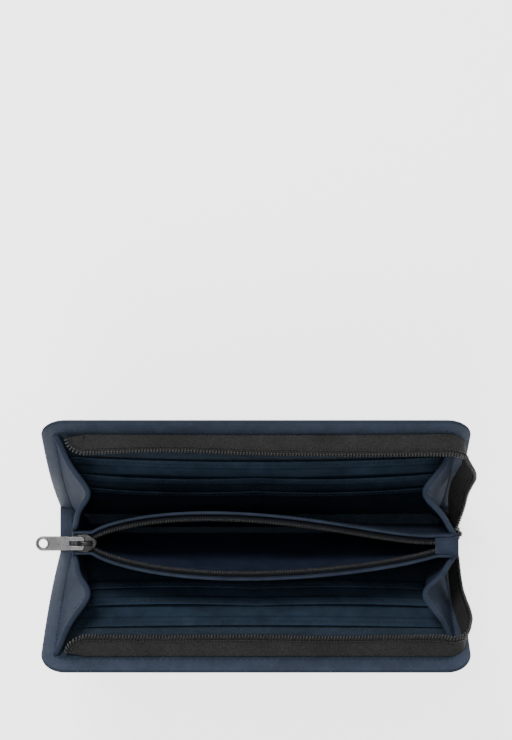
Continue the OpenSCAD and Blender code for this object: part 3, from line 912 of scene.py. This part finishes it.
def rounded_block(build, start, end, r, bulge=0.0):
    """A box between two corners, with rounded edges and slightly domed faces."""
    start, end = np.array(start, float), np.array(end, float)
    centre, half = (start + end) / 2, (end - start) / 2
    n = 14
    t = np.sin(np.linspace(-math.pi / 2, math.pi / 2, n))
    for axis in range(3):
        for s in (-1, 1):
            a, b = np.meshgrid(t, t, indexing="ij")
            p = np.empty((n, n, 3))
            p[..., axis], p[..., (axis + 1) % 3], p[..., (axis + 2) % 3] = s, a, b
            core = half - r
            scaled = p * half
            inner = np.clip(scaled, -core, core)
            out = unit_rows(scaled - inner + 1e-6 * p)
            point = centre + inner + out * r
            point[..., axis] += s * bulge * (1 - a ** 2) * (1 - b ** 2)
            build.grid(point, flip=s < 0)


def tab_block(build, x, half_y, top):
    """The upright of an end tab."""
    half_t = 0.8
    rounded_block(build, [x - half_t, -half_y, SPINE_T], [x + half_t, half_y, top], 0.7, bulge=0.2)


def left_tab():
    build = Build()
    tab_block(build, LEFT_TAB, TAB_Y, COIN_Z - 3.0)
    for y in (-TAB_Y + 1.6, TAB_Y - 1.6):
        z = np.linspace(SPINE_T + 3, COIN_Z - 5, 30)
        build.stitches(np.stack([np.full_like(z, LEFT_TAB - 0.95), np.full_like(z, y), z], -1), [-1, 0, 0], 1)
    make(build, "left_tab", [GUSSET, THREAD], body="spine", replaces=["left_end_tab"])


def right_tab():
    """An upright that leans with the coin pocket's end, and a flap sewn down over the zip's end."""
    build = Build()
    tab_block(build, RIGHT_TAB, 4.9, COIN_Z + 1.6)
    build.verts = [v + np.outer((v[:, 2] / COIN_Z) ** 2, [0, TAB_SHIFT, 0]) for v in build.verts]
    flap_l = RIGHT_TAB + 0.9 - FLAP_X
    u = np.linspace(0, 1, 22)
    y = np.linspace(-TAB_Y + 0.2, TAB_Y - 0.2, 15)
    uu, yy = np.meshgrid(u, y)
    x = FLAP_X + flap_l * uu
    crown = 0.3 * np.sin(math.pi * uu) * (1 - (yy / TAB_Y) ** 2)
    height = COIN_Z + 2.1 + crown - 0.9 * (yy / TAB_Y) ** 2
    points = np.stack([x, yy * (0.62 + 0.1 * uu) + TAB_SHIFT, height], -1)
    build.slab(points, 1.2, 0)
    x0, x1 = FLAP_X + 1.4, RIGHT_TAB - 0.6
    edge = [(x0, -2.9), (x0, 2.9), (x1, 3.4), (x1, -3.4), (x0, -2.9)]
    outline = np.concatenate([np.linspace(edge[i], edge[i + 1], 12) for i in range(4)])
    across = (outline[:, 1] / (0.68 * TAB_Y)) ** 2
    lift = 0.3 * np.sin(math.pi * (outline[:, 0] - FLAP_X) / flap_l) * (1 - across)
    z = COIN_Z + 2.05 + lift - 0.9 * across
    sewn = np.column_stack([outline[:, 0], outline[:, 1] + TAB_SHIFT, z])
    build.stitches(sewn, [0, 0, 1], 1, pitch=2.2, length=1.6, r=0.16)
    make(build, "right_tab", [GUSSET, THREAD], body="spine", replaces=["right_end_tab"])


def spine_floor():
    build = Build()
    rounded_block(build, [-HALF_W + 1.4, -10.8, 1.2], [HALF_W - 1.4, 10.8, 2.0], 0.3)
    make(build, "spine_stiffener", [BOARD], body="spine", replaces=["spine_board"])
    build = Build()
    x = np.linspace(-HALF_W + 1.4, HALF_W - 1.4, 60)
    y = np.linspace(-11.4, 11.4, 13)
    xx, yy = np.meshgrid(x, y)
    z = SPINE_T - 0.12 + 0.1 * np.sin(xx / 9) * np.cos(yy / 4)
    build.slab(np.stack([xx, yy, z], -1), 0.4, 0)
    piece = make(build, "spine_floor_lining", [LINING], body="spine", replaces=["spine_lining"])


# ---------- sliders, pullers and stops ----------

def plate(name, outlines, thickness, bevel, at=(0, 0, 0)):
    """A flat plate with rounded edges. The first outline is its edge and the others are its holes."""
    curve = bpy.data.curves.new(name, "CURVE")
    curve.dimensions = "2D"
    curve.fill_mode = "BOTH"
    curve.extrude = (thickness / 2 - bevel) * MM
    curve.bevel_depth = bevel * MM
    curve.bevel_resolution = 3
    for k, outline in enumerate(outlines):
        line = curve.splines.new("POLY")
        line.points.add(len(outline) - 1)
        for point, (x, y) in zip(line.points, outline):
            point.co = (x * MM, y * MM, 0, 1)
        line.use_cyclic_u = True
    holder = bpy.data.objects.new(name, curve)
    bpy.context.scene.collection.objects.link(holder)
    bpy.context.view_layer.update()
    mesh = bpy.data.meshes.new_from_object(holder.evaluated_get(bpy.context.evaluated_depsgraph_get()))
    bpy.data.objects.remove(holder)
    points = np.array([v.co for v in mesh.vertices]) / MM + np.array(at)
    faces = [tuple(p.vertices) for p in mesh.polygons]
    bpy.data.meshes.remove(mesh)
    return points, faces


def arc(cx, cy, r, a0, a1, n=20):
    turn = np.radians(np.linspace(a0, a1, n))
    return [(cx + r * math.cos(a), cy + r * math.sin(a)) for a in turn]


def slider_shape(build):
    """A zip slider along +X, crown on top: two plates joined by a post, side flanges and a bridge."""
    l, w = 5.5, 4.3    # half the slider's length and width
    r = 1.7
    outline = (arc(l - 2.6, 0, 2.6, -50, 50) + arc(0.6, w - r, r, 60, 110)
               + arc(-l + r, w - 2.4, r, 110, 180) + arc(-l + r, -w + 2.4, r, 180, 250)
               + arc(0.6, -w + r, r, 250, 300))
    for z in (1.95, -1.95):
        points, faces = plate("slider_plate", [outline], 0.9, 0.26, (0, 0, z))
        if z > 0:
            points[:, 2] += np.where(points[:, 2] > 1.9, 0.25 * (1 - (points[:, 1] / w) ** 2), 0)
        build.add(points, faces)
    for s in (-1, 1):
        for z0, z1 in ((0.7, 1.7), (-1.7, -0.7)):
            y0, y1 = sorted((s * (w - 0.85), s * (w - 0.05)))
            rounded_block(build, [-l + 1.9, y0, z0], [1.6, y1, z1], 0.25)
    rounded_block(build, [l - 3.0, -0.42, -1.7], [l - 0.5, 0.42, 1.7], 0.3)
    bridge(build)


def bridge(build):
    """The arch on a slider's crown that holds the puller."""
    half_span, foot_z, rise = 3.6, 2.25, 2.35
    turn = np.linspace(0, math.pi, 25)
    path = np.stack([-half_span * np.cos(turn) * (1 - 0.12 * np.sin(turn)), 0 * turn,
                     foot_z + rise * np.sin(turn) ** 0.62], -1)
    ring = np.linspace(0, 2 * math.pi, 12, endpoint=False)
    along = unit_rows(np.gradient(path, axis=0))
    across = np.array([0, 1.0, 0])
    up = np.cross(along, across)
    wide = 1.05 + 0.35 * np.abs(np.cos(turn))
    points = (path[:, None] + np.cos(ring)[None, :, None] * across * wide[:, None, None]
              + np.sin(ring)[None, :, None] * up[:, None] * 0.45)
    build.grid(points, 0, closed=True)


def puller_shape(build):
    """A flat puller that lies along -X from its pivot, with a round eyed end and a window for the bridge."""
    x_eye = PIVOT_X - PULLER_L
    corner_y, corner_r, waist = 1.95, 1.1, PIVOT_X - 5.4
    outline = (arc(x_eye, 0, EYE_OUTER_R, 95, 265, 28) + [(x_eye + 5, -3.25), (PIVOT_X - 7.5, -3.2)]
               + arc(waist, -corner_y, corner_r, -110, -90, 4) + arc(PIVOT_X, -corner_y, corner_r, -90, 0, 8)
               + arc(PIVOT_X, corner_y, corner_r, 0, 90, 8) + arc(waist, corner_y, corner_r, 90, 110, 4)
               + [(PIVOT_X - 7.5, 3.2), (x_eye + 5, 3.25)])
    eye = arc(x_eye, 0, EYE_R, 0, 350, 36)
    near, far, r = PIVOT_X - 1.2, PIVOT_X - 5.7, 0.5
    window = (arc(near, -1.0, r, -90, 0, 5) + arc(near, 1.0, r, 0, 90, 5)
              + arc(far, 1.0, r, 90, 180, 5) + arc(far, -1.0, r, 180, 270, 5))
    points, faces = plate("puller_plate", [outline, eye, window], PULLER_T, 0.3, (0, 0, PIVOT_Z))
    build.add(points, faces)
    turn = np.linspace(0, 2 * math.pi, 40, endpoint=False)
    rim_r = (EYE_R + EYE_OUTER_R) / 2
    for z in (PIVOT_Z + 0.5, PIVOT_Z - 0.5):
        rim = np.stack([x_eye + rim_r * np.cos(turn), rim_r * np.sin(turn), np.full_like(turn, z)], -1)
        build.tube(rim, 0.28, loop=True, sides=8)


def placed(build, turn, at):
    """Turns and moves everything in the build, drawn along +X, to its place."""
    build.verts = [v @ turn.T + np.array(at) for v in build.verts]


def metal_parts():
    upright = np.array([[0, 0, 1], [0, -1, 0], [1, 0, 0]], float)
    coin_at = (COIN_SLIDER_X, 0, COIN_Z)
    main_at = (ZIP_X, 0, MAIN_SLIDER_Z)
    for label, turn, at in (("coin", np.eye(3), coin_at), ("main", upright, main_at)):
        body = Build()
        slider_shape(body)
        placed(body, turn, at)
        make(body, f"{label}_slider_body", [METAL], body=f"{label}_slider",
             replaces=[f"{label}_slider"])
        pull = Build()
        puller_shape(pull)
        placed(pull, turn, at)
        make(pull, f"{label}_pull_tab", [PULL_METAL], body=f"{label}_puller",
             replaces=[f"{label}_puller"])
    stop = Build()
    rounded_block(stop, [COIN_L - 1.9, -3.1, COIN_Z - 1.3], [COIN_L, 3.1, COIN_Z + 1.3], 0.5)
    make(stop, "coin_zip_stop", [METAL], body="spine", replaces=["coin_bottom_stop"])
    stop = Build()
    rounded_block(stop, [ZIP_X - 1.5, -8.9, SPINE_T], [ZIP_X + 1.5, 8.9, SPINE_T + 2], 0.5)
    make(stop, "main_zip_stop", [METAL], body="spine", replaces=["main_bottom_stop"])


# ---------- camera, lights and floor ----------

def camera():
    data = bpy.data.cameras.new("camera")
    data.lens = LENS
    data.sensor_width = SENSOR
    data.clip_start, data.clip_end = 0.01, 10
    view = bpy.data.objects.new("camera", data)
    view.location = CAMERA_AT
    bpy.context.scene.collection.objects.link(view)
    bpy.context.scene.camera = view


def area_light(name, at, aim, size, power):
    data = bpy.data.lights.new(name, "AREA")
    data.shape = "DISK"
    data.size, data.energy = size, power
    light = bpy.data.objects.new(name, data)
    light.location = at
    direction = np.array(aim) - np.array(at)
    light.rotation_euler = Vector(direction).to_track_quat("-Z", "Y").to_euler()
    bpy.context.scene.collection.objects.link(light)


def studio():
    area_light("key", (-0.36, 0.75, 1.05), (0, 0, 0.05), 0.5, 13)
    area_light("fill", (-0.3, -0.75, 0.95), (0, 0, 0.05), 0.7, 5)
    area_light("top", (-0.05, 0.12, 1.35), (0, 0, 0), 0.3, 3.4)
    world = bpy.data.worlds.new("studio")
    world.use_nodes = True
    world.node_tree.nodes["Background"].inputs["Color"].default_value = (1, 1, 1, 1)
    world.node_tree.nodes["Background"].inputs["Strength"].default_value = 0.62
    bpy.context.scene.world = world
    floor = Build()
    n = np.linspace(-FLOOR_HALF, FLOOR_HALF, 7)
    xx, yy = np.meshgrid(n, n)
    floor.grid(np.stack([xx, yy, np.full_like(xx, FLOOR_Z)], -1))
    m, nodes, links, shader = new_material("floor", (0.9, 0.9, 0.9), 0.8)
    shader.inputs["Emission Color"].default_value = (1, 1, 1, 1)
    shader.inputs["Emission Strength"].default_value = 2.2
    piece = floor.finish("floor", [m])


# ---------- the holder ----------

camera()
studio()
for cover_name, cover_side in SIDES.items():
    shell(cover_name, cover_side)
    cover_inside(cover_name, cover_side)
    card_panels(cover_name, cover_side)
    main_zip(cover_name, cover_side)
    coin_wall(cover_name, cover_side)
    coin_zip(cover_name, cover_side)
    gusset(-1, cover_name, cover_side)
    gusset(1, cover_name, cover_side)
left_tab()
right_tab()
spine_floor()
metal_parts()
